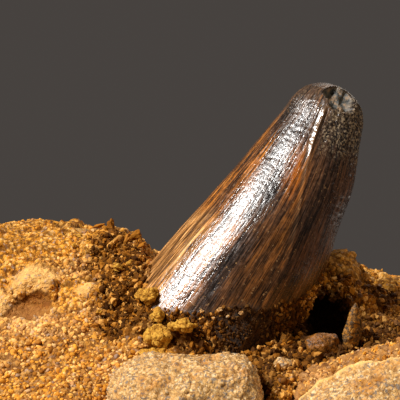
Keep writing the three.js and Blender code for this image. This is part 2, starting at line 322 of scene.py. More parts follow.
class Signal:
    """A number, place or colour in a node tree. What is worked out from it is worked out by nodes."""

    def __init__(self, tree, socket):
        self.tree, self.socket = tree, socket

    def output(self, name):
        """Another output of the same node."""
        return Signal(self.tree, self.socket.node.outputs[name])

    def math(self, operation, *others):
        return add_node(self.tree, "ShaderNodeMath", dict(enumerate((self, *others))), operation=operation)

    def __add__(self, other):
        return self.math("ADD", other)

    def __sub__(self, other):
        return self.math("SUBTRACT", other)

    def __rsub__(self, other):
        return add_node(self.tree, "ShaderNodeMath", {0: other, 1: self}, operation="SUBTRACT")

    def __mul__(self, other):
        return self.math("MULTIPLY", other)

    __radd__, __rmul__ = __add__, __mul__

    def at_least(self, other):
        return self.math("MAXIMUM", other)

    def vector_math(self, operation, inputs):
        return add_node(self.tree, "ShaderNodeVectorMath", {0: self, **inputs}, operation=operation)

    def stretched(self, by):
        return self.vector_math("MULTIPLY", {1: by})

    def scaled(self, by):
        return self.vector_math("SCALE", {"Scale": by})

    def noise(self, scale, detail, roughness):
        inputs = {"Vector": self, "Scale": scale, "Detail": detail, "Roughness": roughness}
        return add_node(self.tree, "ShaderNodeTexNoise", inputs)

    def cells(self, scale):
        made = add_node(self.tree, "ShaderNodeTexVoronoi", {"Vector": self, "Scale": scale})
        return made.output("Distance")

    def bent(self):
        """A place moved by a noise's colour, so that cells lose their straight sides."""
        shift = self.noise(0.9, 3.0, 0.6).output("Color").vector_math("SUBTRACT", {1: (0.5,) * 3})
        return shift.vector_math("MULTIPLY_ADD", {1: (1.1,) * 3, 2: self})

    def dome(self):
        """A grain's round back, from the distance to its middle: 1 there, and 0 in the gap round it."""
        inputs = {0: 1.0, 1: self.math("POWER", 2.0) * 1.9}
        return add_node(self.tree, "ShaderNodeMath", inputs, operation="SUBTRACT", use_clamp=True)

    def ramp(self, *stops):
        """A colour or grey that runs through the stops, each a position and a colour or a grey."""
        made = add_node(self.tree, "ShaderNodeValToRGB", {0: self})
        elements = made.socket.node.color_ramp.elements
        while len(elements) < len(stops):
            elements.new(1.0)
        for element, (position, colour) in zip(elements, stops):
            element.position = position
            element.color = (*((colour,) * 3 if isinstance(colour, (int, float)) else colour), 1.0)
        return made

    def mixed(self, share, other):
        """This colour with a share of another."""
        other = other if isinstance(other, Signal) else (*other, 1.0)
        made = add_node(self.tree, "ShaderNodeMix", {0: share, 6: self, 7: other}, data_type="RGBA")
        return made.output(2)

    def blended(self, share, other):
        """This number with a share of another."""
        return add_node(self.tree, "ShaderNodeMix", {0: share, 2: self, 3: other}, data_type="FLOAT")


def set_inputs(tree, node, inputs):
    """Sets each named or numbered input of a node to a value, or links it to a signal."""
    for key, value in inputs.items():
        if isinstance(value, Signal):
            tree.links.new(value.socket, node.inputs[key])
        else:
            node.inputs[key].default_value = value


def add_node(tree, kind, inputs=None, **settings):
    """A new node's first output."""
    made = tree.nodes.new(kind)
    for name, value in settings.items():
        setattr(made, name, value)
    set_inputs(tree, made, inputs or {})
    return Signal(tree, made.outputs[0])


def new_geometry_tree(name):
    tree = bpy.data.node_groups.new(name, "GeometryNodeTree")
    for way in ("INPUT", "OUTPUT"):
        tree.interface.new_socket("Geometry", in_out=way, socket_type="NodeSocketGeometry")
    return tree, add_node(tree, "NodeGroupInput"), tree.nodes.new("NodeGroupOutput")


def read_attribute(tree, name):
    return add_node(tree, "GeometryNodeInputNamedAttribute", {"Name": name}, data_type="FLOAT")


def weather(piece, tree_name, layers):
    """Pushes a skin in and out along its normals. Each layer is a kind, a size and a height in millimetres,
    and perhaps the attribute that scales it. The unmoved place is kept as bed_place for the material."""
    tree, start, end = new_geometry_tree(tree_name)
    place = add_node(tree, "GeometryNodeInputPosition").stretched((1 / MM,) * 3)
    bent = place.bent()
    total = None
    for kind, size, height, *masks in layers:
        if kind == "noise":
            raised = (place.noise(1 / size, 4.0, 0.6) - 0.5) * 2.0
        elif kind in ("ledges", "beds"):
            flat = (0.3, 0.3, 1.7) if kind == "beds" else (1, 1, 1)
            within = (bent.stretched(flat).noise(1 / size, 3.0, 0.5) * 7.0).math("FRACT")
            inputs = {0: within, 1: 0.75, 2: 1.0}
            edge = add_node(tree, "ShaderNodeMapRange", inputs, interpolation_type="SMOOTHSTEP")
            raised = edge - within + 0.35
        else:
            raised = bent.cells(1 / size).dome() - 0.6
        raised *= height * MM
        for mask in masks:
            raised *= read_attribute(tree, mask)
        total = raised if total is None else total + raised
    offset = add_node(tree, "GeometryNodeInputNormal").scaled(total)
    kept = {"Geometry": start, "Name": "bed_place", "Value": place}
    kept = add_node(tree, "GeometryNodeStoreNamedAttribute", kept, data_type="FLOAT_VECTOR", domain="POINT")
    moved = add_node(tree, "GeometryNodeSetPosition", {"Geometry": kept, "Offset": offset})
    set_inputs(tree, end, {0: moved})
    apply_modifier(piece, "NODES", node_group=tree)


weather(rock, "sandstone relief", [
    ("noise", 3.2, 0.45, "skin"),
    ("ledges", 9.0, 0.9, "skin"),
    ("beds", 9.0, 1.3, "broken_sides"),
    ("noise", 7.0, 0.9, "broken_sides"),
    ("noise", 0.95, 0.4, "skin"),
    ("cells", 1.3, 0.3, "skin"),
    ("cells", 0.6, 0.24, "grainy"),
    ("noise", 1.5, 0.8, "gravel"),
    ("cells", 0.9, 0.45, "gravel"),
])
select_only(rock)
bpy.ops.object.shade_smooth_by_angle(angle=ROCK_CREASE)


def new_material(name):
    material = bpy.data.materials.new(name)
    material.use_nodes = True
    return material, material.node_tree


def with_surface(material, colour, roughness, height, strength, depth, **others):
    """The material with this colour, roughness and bump, whose depth is in millimetres, and with the other
    inputs of its shader that are named."""
    tree = material.node_tree
    bump = add_node(tree, "ShaderNodeBump", {"Height": height, "Strength": strength, "Distance": depth * MM})
    inputs = {"Base Color": colour, "Roughness": roughness, "Normal": bump}
    inputs.update({name.replace("_", " "): value for name, value in others.items()})
    set_inputs(tree, tree.nodes["Principled BSDF"], inputs)
    return material


def add_attribute(tree, name, output="Fac"):
    return add_node(tree, "ShaderNodeAttribute", attribute_name=name).output(output)


def solid_place(tree):
    return add_node(tree, "ShaderNodeTexCoord").output("Object")


def new_group(name, inputs, outputs):
    """A shader group with a vector input Place, the named number inputs, and outputs of the given kinds."""
    group = bpy.data.node_groups.new(name, "ShaderNodeTree")
    group.interface.new_socket("Place", in_out="INPUT", socket_type="NodeSocketVector")
    for socket in inputs:
        group.interface.new_socket(socket, in_out="INPUT", socket_type="NodeSocketFloat")
    for socket, kind in outputs.items():
        group.interface.new_socket(socket, in_out="OUTPUT", socket_type="NodeSocket" + kind)
    start = add_node(group, "NodeGroupInput")
    return group, [start.output(socket) for socket in ("Place", *inputs)], group.nodes.new("NodeGroupOutput")


def place_group(tree, group, inputs):
    return add_node(tree, "ShaderNodeGroup", inputs, node_tree=group)


def cemented_grains():
    """Each grain's own tone, a painted shade in the gaps between the grains, and the grains' height."""
    outputs = {"Tone": "Float", "Gap_shade": "Float", "Height": "Float"}
    group, (place, grain), end = new_group("cemented grains", ["Grain"], outputs)
    bent = place.bent()
    per_mm = add_node(group, "ShaderNodeMath", {0: 1.0, 1: grain}, operation="DIVIDE")
    grains, fine = bent.cells(per_mm), bent.cells(per_mm * 2.3)
    tone = add_node(group, "ShaderNodeSeparateColor", {0: grains.output("Color")})
    speck = add_node(group, "ShaderNodeSeparateColor", {0: fine.output("Color")}).output(1)
    gap = 1.0 - grains.dome()
    set_inputs(group, end, {"Tone": tone * 0.55 + speck * 0.45, "Gap_shade": gap.math("POWER", 1.6),
                            "Height": grains.dome() + fine.dome() * 0.5})
    return group


def sand_colours():
    """The ochre of the bed: golden sand, brown gravel, bleached and rusty patches, grey grains, and painted
    shade.
    """
    masks = ["Tone", "Gravel", "Pale", "Scoop", "Shaded"]
    group, signals, end = new_group("ochre sand colours", masks, {"Colour": "Color"})
    place, tone, gravel, pale, scoop, shaded = signals
    golden = tone.ramp(
        (0.15, (0.26, 0.085, 0.010)),
        (0.36, (0.60, 0.225, 0.022)),
        (0.60, (0.80, 0.360, 0.040)),
        (0.86, (0.88, 0.510, 0.165)),
    )
    brown = tone.ramp(
        (0.15, (0.020, 0.0065, 0.001)),
        (0.42, (0.115, 0.036, 0.003)),
        (0.66, (0.310, 0.100, 0.006)),
        (0.88, (0.720, 0.360, 0.080)),
    )
    rusty = place.noise(0.3, 5.0, 0.65).ramp((0.42, 0.0), (0.68, 0.6))
    bleached = place.stretched((0.6, 0.6, 2.2)).noise(0.11, 4.0, 0.6).ramp((0.52, 0.0), (0.68, 0.4))
    grey = place.noise(2.1, 1.0, 0.5).ramp((0.60, 0.0), (0.68, 0.6)) * (1.0 - gravel) * (1.0 - scoop)
    colour = golden.mixed(rusty, brown).mixed(gravel * 0.85, brown)
    for share, tint in (
        (bleached * (1.0 - gravel), (0.82, 0.50, 0.22)),
        (pale * 0.65, (0.86, 0.50, 0.17)),
        (scoop * 0.75, (0.19, 0.054, 0.007)),
        (grey, (0.34, 0.27, 0.22)),
        (shaded * 0.85, (0.038, 0.015, 0.004)),
    ):
        colour = colour.mixed(share, tint)
    set_inputs(group, end, {"Colour": colour})
    return group


CEMENTED_GRAINS = cemented_grains()
SAND_COLOURS = sand_colours()


def sand_masks(tree):
    masks = {mask.capitalize(): add_attribute(tree, mask) for mask in ("gravel", "pale", "scoop", "shaded")}
    return {"Place": add_attribute(tree, "bed_place", "Vector"), **masks}


def sandstone_material():
    material, tree = new_material("ochre sandstone")
    masks = sand_masks(tree)
    grains = place_group(tree, CEMENTED_GRAINS, {"Place": masks["Place"], "Grain": 0.6})
    colour = place_group(tree, SAND_COLOURS, {**masks, "Tone": grains.output("Tone")})
    # Painted shade: the gaps between the grains are painted dark, less on the smooth pale and scooped skin.
    granular = 0.8 - masks["Scoop"].at_least(masks["Pale"]) * 0.55
    colour = colour.mixed(grains.output("Gap_shade") * granular, (0.09, 0.03, 0.006))
    colour = colour.mixed(add_attribute(tree, "packed") * 0.45, (0.24, 0.105, 0.035))
    # Painted shade: under the gravel the skin is painted near black, for the shade in the gaps between
    # crumbs.
    colour = colour.mixed(masks["Gravel"] * 0.55, (0.030, 0.011, 0.003))
    return with_surface(material, colour, 0.85, grains.output("Height"), strength=0.9, depth=0.12,
                        Specular_IOR_Level=0.06)


rock.data.materials.append(sandstone_material())
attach(rock, "root")
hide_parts("matrix_block")

# ---- The tooth ----
# The enamel crown of a mosasaur, fossil and stained dark brown: a stout cone with a cutting edge down its
# front and its back, finely striated along its length, pitted and chipped at the tip, soiled and painted with
# shade at its base.

FOOT = np.array([4.6, -2.1, 29.2])
LEAN_BACK = math.radians(12)
AXIS = [(-7.6, -11.5), (-3.6, -5.5), (0, 0), (3.5, 5.3), (7.3, 12), (10.3, 18.6), (12.4, 24.3)]
WIDTH_AT_TIP = 2.72
WIDENING = 0.385
BLUNTNESS = 0.65  # how much the worn tip is fuller than that, in millimetres
DEPTH_SHARE = 0.9
EDGE_START, EDGE_WINDS, EDGE_LENGTH = math.radians(-96), math.radians(30), 25.0
EDGE_SWELL, EDGE_SWELL_SPREAD = 0.03, math.radians(14)  # the gentle rise towards a cutting edge
EDGE_HEIGHT = 0.34  # the edge itself, a thin worn ridge
EDGE_LEFT_FLANK, EDGE_RIGHT_FLANK = 0.55, 0.2
CHIP_MIDDLE, CHIP_HALF = np.array([12.75, -3.0, 22.6]), np.array([2.1, 1.8, 2.1])
CHIP_REACH = 9  # the chip lies within this many millimetres of the tip
NECK_DEPTH = 0.4  # how far the crown draws in under its base
SOIL_LINE = [(-8, 28.6), (-3.5, 27.9), (0.5, 28.2), (4.8, 28.7), (8.4, 28.3), (12.5, 29.0), (16, 30.5)]
TOOTH_SEGMENTS, TOOTH_RINGS = 360, 260


def tooth_axis(steps=60):
    """Points on the axis from the tip down to the root, with their distance from the tip."""
    knots = np.array(AXIS, float)
    knots = np.vstack([2 * knots[0] - knots[1], knots, 2 * knots[-1] - knots[-2]])
    curve = []
    for a, b, c, d in zip(knots, knots[1:], knots[2:], knots[3:]):
        for t in np.linspace(0, 1, steps, endpoint=False):
            curve.append(0.5 * (2 * b + (c - a) * t + (2 * a - 5 * b + 4 * c - d) * t**2
                                + (3 * b - a - 3 * c + d) * t**3))
    curve = np.array([*curve, AXIS[-1]])[::-1]
    lengths = np.concatenate([[0], np.cumsum(np.linalg.norm(np.diff(curve, axis=0), axis=1))])
    return curve, lengths


def enamel_relief(places, from_tip, worn, edge_side):
    """The enamel's own surface in millimetres: broad waves, long striae, crinkles, and pits near the tip."""

    def grain(*waves):
        """A sum of noises, each a frequency round the tooth, one along it, a shift along it and a height."""
        return np.array([sum(height * noise.noise(Vector((c * round_it, s * round_it, t * along + shift)))
                             for round_it, along, shift, height in waves)
                         for (c, s), t in zip(places, from_tip)])

    broad = grain((1.6, 0.13, 3, 1))
    striae = grain((7, 0.11, 0, 1), (19, 0.15, 9, 0.5), (37, 0.22, 4, 0.32))
    crinkles = grain((7, 2.1, 5, 1), (15, 3.6, 0, 0.6))
    wrinkles = bell(from_tip, 12.5, 4) * grain((2.2, 2.6, 0, 1))
    pits = grain((7, 1.7, 20, 1), (13, 3.1, 0, 0.6))
    tip = np.maximum(0.0, 1 - from_tip / 7)
    return (0.12 * broad + 0.020 * striae + (0.004 + 0.02 * worn + 0.006 * tip) * crinkles + 0.02 * wrinkles
            - (edge_side * worn * 0.3 + tip * 0.12) * np.maximum(0.0, pits))


def wander(point):
    """A smooth shift that changes from place to place: three noises, read far apart."""
    return np.array([noise.noise(Vector(point) + Vector((apart, 0, 0))) for apart in (5.3, 43.1, 88.7)])


def make_tooth():
    deselect()
    bpy.ops.mesh.primitive_uv_sphere_add(segments=TOOTH_SEGMENTS, ring_count=TOOTH_RINGS, radius=1)
    tooth = bpy.context.active_object
    tooth.name = "enamel_crown"
    ball = points_of(tooth) * MM
    down = np.arccos(np.clip(ball[:, 2], -1, 1)) / math.pi
    around = np.arctan2(ball[:, 1], ball[:, 0])
    curve, lengths = tooth_axis()
    from_tip = np.where(down < 0.1, 160 * down**2, np.interp(down, [0.1, 0.93, 1], [1.6, 34, lengths[-1]]))
    centre, ahead, behind = (np.stack([np.interp(from_tip + step, lengths, curve[:, k]) for k in (0, 1)], 1)
                             for step in (0, -0.2, 0.2))
    forward = (ahead - behind) / np.linalg.norm(ahead - behind, axis=1)[:, None]
    half_width = WIDTH_AT_TIP * from_tip**WIDENING
    half_width += BLUNTNESS * bell(from_tip, 2, 2.6) * np.clip(from_tip / 1.2, 0, 1) ** 0.5
    half_width *= np.clip((lengths[-1] - from_tip) / 1.5, 0, 1) ** 0.5
    places = np.stack([np.cos(around), np.sin(around)], 1)

    # The two cutting edges, and on which side of the front one a point lies.
    from_edge = np.mod(around - EDGE_START - EDGE_WINDS * ease(from_tip, 5, EDGE_LENGTH), 2 * math.pi)
    near_edge = np.minimum(np.minimum(from_edge, np.abs(from_edge - math.pi)), 2 * math.pi - from_edge)
    to_right = np.where(from_edge < math.pi, from_edge, from_edge - 2 * math.pi)
    on_right = ease(to_right, 0, 0.2) * ease(math.pi - to_right, 0, 0.5)
    worn = 1 - ease(from_tip, 7, 17)
    edge_length = (ease(from_tip, 2.6, 4.4) * (1 - 0.65 * ease(from_tip, 7.5, 10.5))
                   * (1 - ease(from_tip, 15, 24)))
    notched = 0.9 + 0.35 * np.array([noise.noise(Vector((0, 3, t * 1.9))) for t in from_tip])
    half_width *= 1 + EDGE_SWELL * np.clip(from_tip / 3 - 0.4, 0, 1) * np.exp(-near_edge / EDGE_SWELL_SPREAD)
    for share, at, reach in ((0.03, 7, 3), (0.06, 15.5, 4)):
        half_width *= 1 - share * bell(from_tip, at, reach) * np.clip(places[:, 0], 0, 1)
    flank = np.where(to_right < 0, EDGE_LEFT_FLANK, EDGE_RIGHT_FLANK)
    flank = np.where(near_edge < np.abs(to_right) - 0.01, EDGE_LEFT_FLANK, flank)
    edge = EDGE_HEIGHT * edge_length * notched * np.clip(1 - near_edge * half_width / flank, 0, 1)
    relief = enamel_relief(places, from_tip, worn, on_right)
    radius = half_width + edge + relief * np.clip(from_tip / 1.5, 0, 1)

    def set_out(radius):
        x = centre[:, 0] + radius * places[:, 0] * forward[:, 1]
        y = radius * DEPTH_SHARE * places[:, 1]
        z = centre[:, 1] - radius * places[:, 0] * forward[:, 0]
        return np.stack([x, y, z], 1)

    def stand_up(points):
        turned = points.copy()
        turned[:, 1] = points[:, 1] * math.cos(LEAN_BACK) + points[:, 2] * math.sin(LEAN_BACK)
        turned[:, 2] = -points[:, 1] * math.sin(LEAN_BACK) + points[:, 2] * math.cos(LEAN_BACK)
        return turned + FOOT

    # The crown draws in below the line where the soil begins, on the side where that shows.
    stood = stand_up(set_out(radius))
    above_soil = stood[:, 2] - np.interp(stood[:, 0], *zip(*SOIL_LINE)) + 0.9 * ragged_at(stood, (0.55, 1))
    radius -= NECK_DEPTH * ease(-above_soil, 0.1, 1.6) * ease(-places[:, 1], 0.2, 0.7)
    points = set_out(radius)

    # The chip: what lies in its ragged scoop is pushed in to the far wall.
    shift = np.zeros_like(points)
    for i in np.nonzero(from_tip < CHIP_REACH)[0]:
        shift[i] = wander(points[i] * 0.8) + 0.25 * wander(points[i] * 2.1)
    inward = np.stack([centre[:, 0] - 1.2, np.zeros(len(centre)), centre[:, 1] - 2.0], 1) - points
    inward /= np.linalg.norm(inward, axis=1)[:, None]
    depth = depth_in_ball((points + 0.6 * shift - CHIP_MIDDLE) / CHIP_HALF, inward / CHIP_HALF)
    chipped = np.clip(depth * 2.2, 0, 1)
    points += inward * (0.65 * depth)[:, None]
    for i in np.nonzero(chipped)[0]:
        points[i] += chipped[i] * 0.13 * wander(points[i] * 1.3)
    place_points(tooth, stand_up(points))

    store_places(tooth, "enamel_place", np.column_stack([places, from_tip / 25]))
    store(tooth, chipped=chipped, worn=worn, right_face=on_right,
          cutting_edge=bell(to_right * half_width, -0.22, 0.3) * edge_length,
          rust=bell(to_right, -0.17, 0.18) * ease(from_tip, 7, 11) * (1 - 0.45 * ease(from_tip, 13, 18)),
          fan=ease(-to_right, 0.95, 1.4) * ease(from_tip, 20.5, 25),
          blush=bell(to_right, -0.19, 0.17) * bell(from_tip, 12.3, 2.6),
          warm=ease(from_tip, 16, 21) * ease(to_right, -0.75, -0.4),
          tip=1 - ease(from_tip, 3, 8),
          left_rim=ease(-to_right, 0.66, 0.92) * ease(from_tip, 4, 10),
          speckled=on_right * (1 - ease(from_tip, 6, 10)),
          soiled=ease(1.2 - above_soil, 0, 2.6), above_soil=above_soil)
    with editing(tooth):
        bpy.ops.mesh.select_all(action="SELECT")
        bpy.ops.mesh.normals_make_consistent(inside=False)
    bpy.ops.object.shade_smooth()
    return tooth


def enamel_material():
    material, tree = new_material("fossil enamel")
    place = add_attribute(tree, "enamel_place", "Vector")

    def along(across, length, detail=4.0):
        """A noise drawn out along the tooth."""
        return place.stretched((across, across, length)).noise(1.0, detail, 0.62)

    def share(name, amount=1.0):
        return add_attribute(tree, name) * amount

    streak, thread, hair = along(3.4, 2.2, 5.0), along(15, 5), along(30, 11)
    mottle, speck = along(16, 44, 3.0), along(26, 70, 2.0)
    tone = streak * 0.3 + thread * 0.35 + hair * 0.25 + mottle * 0.1
    dark = tone.ramp(
        (0.42, (0.011, 0.008, 0.007)),
        (0.49, (0.038, 0.023, 0.017)),
        (0.54, (0.075, 0.038, 0.022)),
        (0.60, (0.140, 0.058, 0.019)),
    )
    orange = tone.ramp(
        (0.40, (0.012, 0.007, 0.005)),
        (0.47, (0.065, 0.025, 0.008)),
        (0.53, (0.230, 0.075, 0.010)),
        (0.61, (0.500, 0.200, 0.035)),
    )
    brown_face = tone.ramp(
        (0.42, (0.012, 0.007, 0.005)),
        (0.50, (0.046, 0.022, 0.012)),
        (0.60, (0.105, 0.048, 0.022)),
    )
    tan = thread.ramp(
        (0.40, (0.10, 0.040, 0.010)),
        (0.52, (0.40, 0.180, 0.048)),
        (0.62, (0.72, 0.40, 0.155)),
    )
    warm = tone.ramp(
        (0.42, (0.012, 0.006, 0.002)),
        (0.50, (0.060, 0.021, 0.003)),
        (0.60, (0.175, 0.056, 0.006)),
    )
    specks = along(19, 85, 3.0).ramp(
        (0.44, (0.006, 0.006, 0.007)),
        (0.53, (0.050, 0.042, 0.034)),
        (0.60, (0.340, 0.260, 0.170)),
    )
    broken = solid_place(tree).noise(1.1 / MM, 5.0, 0.7).ramp(
        (0.36, (0.026, 0.027, 0.026)),
        (0.47, (0.085, 0.087, 0.082)),
        (0.54, (0.150, 0.122, 0.092)),
        (0.62, (0.330, 0.215, 0.130)),
    )
    soil = hair.ramp(
        (0.42, (0.007, 0.003, 0.001)),
        (0.52, (0.032, 0.013, 0.003)),
        (0.60, (0.100, 0.042, 0.007)),
    )
    colour = dark.mixed(share("right_face"), brown_face)
    for part, tint in (
        (share("rust") * streak.ramp((0.40, 0.35), (0.54, 1.0)), orange),
        (share("left_rim") * streak.ramp((0.38, 0.55), (0.52, 1.0)), orange),
        (share("fan", 0.62), tan),
        (share("blush") * thread.ramp((0.45, 0.1), (0.56, 0.85)), (0.33, 0.090, 0.008)),
        (share("cutting_edge", 0.5), (0.30, 0.17, 0.08)),
        (share("warm", 0.6), warm),
    ):
        colour = colour.mixed(part, tint)
    # Fine dark and light lines, a little brighter on the right face and at the left rim.
    lines = (along(72, 6, 3.0) * 6.0 - 2.0).at_least(0.3)
    colour = colour.scaled(lines * (share("right_face", 0.3) + share("left_rim", 0.25) + 1.0))
    for part, tint in (
        (share("speckled", 0.85), specks),
        (speck.ramp((0.66, 0.0), (0.70, 0.7)), (0.36, 0.21, 0.09)),
        (share("tip") * along(22, 90, 3.0).ramp((0.48, 0.0), (0.60, 0.35)), (0.24, 0.150, 0.080)),
        (share("chipped"), broken),
        # A painted shade: a dark line round the chip's edge, for the shade on its wall.
        (add_attribute(tree, "chipped").ramp((0.02, 0.0), (0.22, 0.85), (0.55, 0.0)), (0.016, 0.013, 0.011)),
        # At the base, dark soil and a painted shade together.
        (share("soiled", 0.92), soil),
    ):
        colour = colour.mixed(part, tint)
    gloss = (hair * 0.6 + mottle * 0.4).blended(share("worn"), mottle)
    rough = gloss.ramp((0.42, 0.15), (0.5, 0.22), (0.6, 0.42)) + share("tip", 0.03)
    rough = rough.blended(share("cutting_edge"), 0.16)
    rough = rough.at_least(share("soiled", 0.95)).at_least(share("chipped", 0.75))
    height = hair * 0.4 + thread + speck * (share("worn", 0.1) + 0.2) + mottle * (0.75 - share("worn", 0.2))
    height = height * (share("tip", 0.2) + 1.0) * (1.0 - share("cutting_edge", 0.85))
    return with_surface(material, colour, rough, height, strength=1.0, depth=0.075, IOR=1.54)


tooth = make_tooth()
tooth.data.materials.append(enamel_material())
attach(tooth, "root")
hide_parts("tooth_crown")

# ---- The cobbles ----
# Two water-worn blocks of paler, closer-grained stone, bedded in the front of the lump. The right one is
# broken along its bedding, so that thin layers stand out round its top.

# Where the right cobble's pale skin ends, as x and y.
SKIN_EDGE = [(9, -22.6), (11.3, -22.4), (13.6, -21.8), (16.4, -21.3), (21.9, -22.8), (30, -24.5)]


def cobble_material():
    material, tree = new_material("cream cobble")
    place = add_attribute(tree, "bed_place", "Vector")
    layered = add_attribute(tree, "layered")
    grains = place_group(tree, CEMENTED_GRAINS, {"Place": place, "Grain": 0.36})
    clumps = place_group(tree, CEMENTED_GRAINS, {"Place": place, "Grain": 0.8})
    colour = grains.output("Tone").ramp(
        (0.15, (0.30, 0.150, 0.045)),
        (0.40, (0.60, 0.330, 0.105)),
        (0.62, (0.72, 0.430, 0.155)),
        (0.85, (0.82, 0.600, 0.330)),
    )
    for share, tint in (
        (place.noise(0.4, 4.0, 0.6).ramp((0.48, 0.0), (0.66, 0.75)), (0.58, 0.23, 0.03)),
        (place.noise(2.4, 3.0, 0.65).ramp((0.54, 0.0), (0.61, 0.85)), (0.17, 0.150, 0.135)),
        (layered * 0.7, (0.46, 0.185, 0.025)),
        # Painted shade in the gaps between the grains, deeper in the pits of the broken layers.
        (clumps.output("Gap_shade") * (layered * 0.85), (0.13, 0.040, 0.006)),
        (grains.output("Gap_shade") * 0.5, (0.16, 0.07, 0.02)),
        # The painted highlight and the painted shadow along the layer's edge.
        (add_attribute(tree, "painted_rim_highlight") * 0.75, (0.95, 0.58, 0.18)),
        (add_attribute(tree, "painted_rim_shadow") * 0.7, (0.08, 0.028, 0.005)),
    ):
        colour = colour.mixed(share, tint)
    return with_surface(material, colour, 0.85, grains.output("Height"), strength=0.7, depth=0.08,
                        Specular_IOR_Level=0.3)


def layer_rim(points):
    """The right cobble's pale skin ends in a thin raised edge, and the layer behind it crumbles back."""
    ragged = ragged_at(points, (0.45, 1), (1.3, 0.4))
    behind = points[:, 1] - np.interp(points[:, 0], *zip(*SKIN_EDGE)) + 0.5 * ragged
    upper = ease(points[:, 2], 19, 21)
    points[:, 2] += upper * (0.35 * ease(behind, -1.2, 0) - 0.9 * ease(behind, 0, 0.4)
                             + 0.45 * ease(behind, 3.0, 4.5))
    pits = ease(spots(points, (1, 18.4, -24.6, 2.8, 0.9)) + 0.3 * ragged, 0.4, 0.8)
    return {"layered": upper * np.maximum(ease(behind, 0, 0.3), 0.55 * pits),
            # A painted highlight along the raised edge, and a painted shadow in the groove just behind it.
            "painted_rim_highlight": upper * bell(behind, -0.12, 0.2),
            "painted_rim_shadow": upper * bell(behind, 0.5, 0.35)}


def worn_end(points):
    """The front cobble's top is fuller, and its right end stands a little clear of the sand."""
    points[:, 2] += 0.6 * ease(points[:, 2], 17, 22)
    points[:, 0] -= 0.9 * ease(points[:, 0], 4.5, 8.5)
    return {}


def drawn_out(points):
    """The splinter of bone is a leaf that leans to the right and narrows to both ends."""
    middle, half = (points.max(0) + points.min(0)) / 2, np.ptp(points, axis=0) / 2
    along = (points[:, 2] - middle[2]) / half[2]
    narrowed = (points[:, 0] - middle[0]) * (1.0 - 0.5 * np.abs(along) ** 1.5)
    points[:, 0] = middle[0] - 0.5 + narrowed + 0.1 * along
    points[:, 2] = middle[2] + 0.3 + 1.4 * (points[:, 2] - middle[2])
    return {}


def as_it_is(points):
    return {}


def dress_stone(node_name, piece_name, voxel, layers, material, shape=as_it_is):
    """A bedded stone: the CAD node's shape, worn round and weathered. The shape function may move its points,
    and gives the shares that the relief and the material read."""
    piece = copy_of_node(node_name, piece_name)
    apply_modifier(piece, "REMESH", mode="VOXEL", voxel_size=voxel)
    apply_modifier(piece, "SMOOTH", factor=0.5, iterations=6)
    points = points_of(piece)
    store(piece, **shape(points))
    place_points(piece, points)
    weather(piece, piece_name + " relief", layers)
    select_only(piece)
    bpy.ops.object.shade_smooth()
    piece.data.materials.append(material)
    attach(piece, "root")
    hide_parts(node_name)
    return piece


COBBLE = cobble_material()
FRONT_RELIEF = [("noise", 2.8, 0.4), ("ledges", 6.0, 0.5), ("noise", 0.7, 0.2), ("cells", 0.36, 0.09)]
RIGHT_RELIEF = [("noise", 3.6, 0.35), ("noise", 0.8, 0.12), ("cells", 0.36, 0.06),
                ("cells", 0.9, 0.5, "layered"), ("noise", 1.3, 0.5, "layered"),
                ("ledges", 3.5, 0.5, "layered")]
dress_stone("front_stone", "front_cobble", 0.2 * MM, FRONT_RELIEF, COBBLE, worn_end)
right_cobble = dress_stone("right_stone", "right_cobble", 0.25 * MM, RIGHT_RELIEF, COBBLE,
                           layer_rim)

# ---- The small stones ----
# Lumpy nodules of yellow ochre by the tooth, a chip of the cream stone, a brown pebble at the mouth of the
# hollow, and a splinter of fossil bone.


def small_stone_material(name, tints, grain, roughness):
    """A close-grained stone, blotched through a dark, a middle and a light tint."""
    material, tree = new_material(name)
    place = add_attribute(tree, "bed_place", "Vector")
    grains = place_group(tree, CEMENTED_GRAINS, {"Place": place, "Grain": grain})
    tone = grains.output("Tone") * 0.5 + place.noise(1.2, 3.0, 0.6) * 0.5
    colour = tone.ramp(*zip((0.32, 0.48, 0.66), tints))
    return with_surface(material, colour, roughness, grains.output("Height"), strength=0.6, depth=0.05,
                        Specular_IOR_Level=0.3)


OCHRE_TINTS = [(0.18, 0.070, 0.005), (0.46, 0.205, 0.017), (0.61, 0.34, 0.046)]
BROWN_TINTS = [(0.03, 0.010, 0.001), (0.14, 0.048, 0.003), (0.26, 0.095, 0.010)]
BONE_TINTS = [(0.035, 0.024, 0.015), (0.125, 0.064, 0.022), (0.43, 0.18, 0.02)]
OCHRE = small_stone_material("yellow ochre", OCHRE_TINTS, grain=0.22, roughness=0.9)
BROWN = small_stone_material("brown pebble", BROWN_TINTS, grain=0.3, roughness=0.5)
BONE = small_stone_material("fossil bone", BONE_TINTS, grain=0.25, roughness=0.6)
NODULE_RELIEF = [("noise", 1.5, 0.3), ("cells", 1.1, 0.4), ("noise", 0.45, 0.09)]
SMOOTH_RELIEF = [("noise", 1.3, 0.28), ("noise", 0.5, 0.08)]
for part in ("upper", "small", "middle", "lower", "front"):
    dress_stone("ochre_nodule_" + part, part + "_nodule", 0.09 * MM, NODULE_RELIEF, OCHRE)
dress_stone("hollow_pebble", "brown_pebble", 0.1 * MM, SMOOTH_RELIEF, BROWN)
dress_stone("bone_shard", "bone_splinter", 0.08 * MM, SMOOTH_RELIEF, BONE, drawn_out)
dress_stone("pale_chip", "cream_chip", 0.08 * MM, SMOOTH_RELIEF, COBBLE)

# ---- Loose grains and crumbs ----
# Sand grains stuck over the lump's skin, crumbs of gravel heaped round the tooth and clinging to its base,
# and a few larger broken flakes. Each is a real closed lump, half sunk in what it lies on.

CRUMB_CREASE = math.radians(35)
SOIL_REACH = 2.5  # the tooth is looked at as far as this from the sand, in millimetres
FAR_OFF = 9.0  # and what lies beyond counts as this far away


def add_ball(subdivisions):
    """A ball one unit across."""
    deselect()
    bpy.ops.mesh.primitive_ico_sphere_add(subdivisions=subdivisions, radius=0.5)
    return bpy.context.active_object


